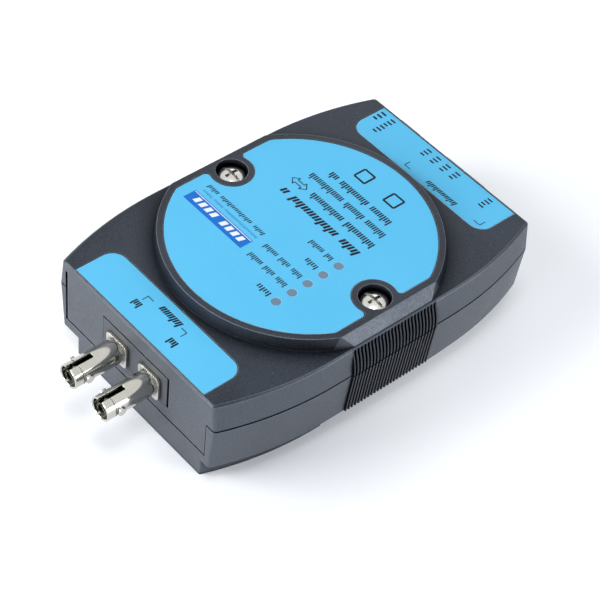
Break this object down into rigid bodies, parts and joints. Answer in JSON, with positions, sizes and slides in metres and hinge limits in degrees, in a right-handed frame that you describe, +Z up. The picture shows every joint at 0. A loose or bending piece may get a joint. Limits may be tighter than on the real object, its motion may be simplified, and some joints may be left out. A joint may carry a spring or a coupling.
{
  "type": "fibre media converter",
  "caption": "Flat moulded converter box with ribbed finger grips, a round label, bayonet fibre ports at one end and a modular socket with plug-in screw terminals at the other.",
  "frame": {"origin": "on the resting plane under the middle of the case, on the centre line of the rail channel", "axes": "+X to the reader's right of the top label seen from the rear end, +Y towards the fibre ports, +Z up"},
  "size_m": [0.0768, 0.1313, 0.0326],
  "materials": {
    "shell": "satin",
    "lower": "satin",
    "label": "satin",
    "nickel": "polished",
    "steel": "satin",
    "insert": "satin",
    "module": "matte",
    "sleeve": "gloss",
    "board": "satin",
    "chip": "matte",
    "can": "satin",
    "lamp": "gloss",
    "pipe": "gloss",
    "gold": "polished",
    "jack": "satin",
    "terminal": "satin",
    "clamp": "satin"
  },
  "bodies": {
    "case": {"upper_shell": "shell", "lower_shell": "lower", "case_screws": "nickel", "label_top": "label", "label_fibre": "label", "label_rear": "label", "port_insert": "insert", "optical_module_1": "module", "optical_module_2": "module", "fibre_port_1": "nickel", "fibre_port_2": "nickel", "ferrule_sleeve_1": "sleeve", "ferrule_sleeve_2": "sleeve", "circuit_board": "board", "board_screws": "steel", "converter_chip": "chip", "port_chip": "chip", "line_transformer": "chip", "crystal": "can", "power_inductor": "chip", "smoothing_capacitors": "can", "status_lamps": "lamp", "light_pipes": "pipe", "jack_shield": "steel", "jack_insert": "jack", "jack_contacts": "gold", "power_header": "terminal", "power_pins": "gold", "signal_header": "terminal", "signal_pins": "gold"},
    "power_plug": {"power_plug": "terminal", "power_contacts": "gold"},
    "signal_plug": {"signal_plug": "terminal", "signal_contacts": "gold"},
    "terminal_screw_1": {"terminal_screw_1": "steel"},
    "terminal_clamp_1": {"terminal_clamp_1": "clamp"},
    "terminal_screw_2": {"terminal_screw_2": "steel"},
    "terminal_clamp_2": {"terminal_clamp_2": "clamp"},
    "terminal_screw_3": {"terminal_screw_3": "steel"},
    "terminal_clamp_3": {"terminal_clamp_3": "clamp"},
    "terminal_screw_4": {"terminal_screw_4": "steel"},
    "terminal_clamp_4": {"terminal_clamp_4": "clamp"},
    "terminal_screw_5": {"terminal_screw_5": "steel"},
    "terminal_clamp_5": {"terminal_clamp_5": "clamp"},
    "terminal_screw_6": {"terminal_screw_6": "steel"},
    "terminal_clamp_6": {"terminal_clamp_6": "clamp"}
  },
  "joints": [
    {"name": "power_plug_pull", "type": "slide", "parent": "case", "child": "power_plug", "axis": [0, -1, 0], "range_m": [0, 0.008]},
    {"name": "terminal_screw_1_turn", "type": "hinge", "parent": "power_plug", "child": "terminal_screw_1", "pos_m": [0.02049, -0.05765, 0.01825], "axis": [0, 0, -1], "range_deg": [0, 1440]},
    {"name": "terminal_clamp_1_rise", "type": "slide", "parent": "power_plug", "child": "terminal_clamp_1", "axis": [0, 0, 1], "range_m": [0, 0.0016]},
    {"name": "terminal_screw_2_turn", "type": "hinge", "parent": "power_plug", "child": "terminal_screw_2", "pos_m": [0.02431, -0.05765, 0.01825], "axis": [0, 0, -1], "range_deg": [0, 1440]},
    {"name": "terminal_clamp_2_rise", "type": "slide", "parent": "power_plug", "child": "terminal_clamp_2", "axis": [0, 0, 1], "range_m": [0, 0.0016]},
    {"name": "signal_plug_pull", "type": "slide", "parent": "case", "child": "signal_plug", "axis": [0, -1, 0], "range_m": [0, 0.008]},
    {"name": "terminal_screw_3_turn", "type": "hinge", "parent": "signal_plug", "child": "terminal_screw_3", "pos_m": [-0.00587, -0.05765, 0.01825], "axis": [0, 0, -1], "range_deg": [0, 1440]},
    {"name": "terminal_clamp_3_rise", "type": "slide", "parent": "signal_plug", "child": "terminal_clamp_3", "axis": [0, 0, 1], "range_m": [0, 0.0016]},
    {"name": "terminal_screw_4_turn", "type": "hinge", "parent": "signal_plug", "child": "terminal_screw_4", "pos_m": [-0.00205, -0.05765, 0.01825], "axis": [0, 0, -1], "range_deg": [0, 1440]},
    {"name": "terminal_clamp_4_rise", "type": "slide", "parent": "signal_plug", "child": "terminal_clamp_4", "axis": [0, 0, 1], "range_m": [0, 0.0016]},
    {"name": "terminal_screw_5_turn", "type": "hinge", "parent": "signal_plug", "child": "terminal_screw_5", "pos_m": [0.00176, -0.05765, 0.01825], "axis": [0, 0, -1], "range_deg": [0, 1440]},
    {"name": "terminal_clamp_5_rise", "type": "slide", "parent": "signal_plug", "child": "terminal_clamp_5", "axis": [0, 0, 1], "range_m": [0, 0.0016]},
    {"name": "terminal_screw_6_turn", "type": "hinge", "parent": "signal_plug", "child": "terminal_screw_6", "pos_m": [0.00556, -0.05765, 0.01825], "axis": [0, 0, -1], "range_deg": [0, 1440]},
    {"name": "terminal_clamp_6_rise", "type": "slide", "parent": "signal_plug", "child": "terminal_clamp_6", "axis": [0, 0, 1], "range_m": [0, 0.0016]}
  ],
  "couplings": [
    {"joint": "terminal_screw_1_turn", "follows": "terminal_clamp_1_rise", "rad_per_m": 15708},
    {"joint": "terminal_screw_2_turn", "follows": "terminal_clamp_2_rise", "rad_per_m": 15708},
    {"joint": "terminal_screw_3_turn", "follows": "terminal_clamp_3_rise", "rad_per_m": 15708},
    {"joint": "terminal_screw_4_turn", "follows": "terminal_clamp_4_rise", "rad_per_m": 15708},
    {"joint": "terminal_screw_5_turn", "follows": "terminal_clamp_5_rise", "rad_per_m": 15708},
    {"joint": "terminal_screw_6_turn", "follows": "terminal_clamp_6_rise", "rad_per_m": 15708}
  ]
}
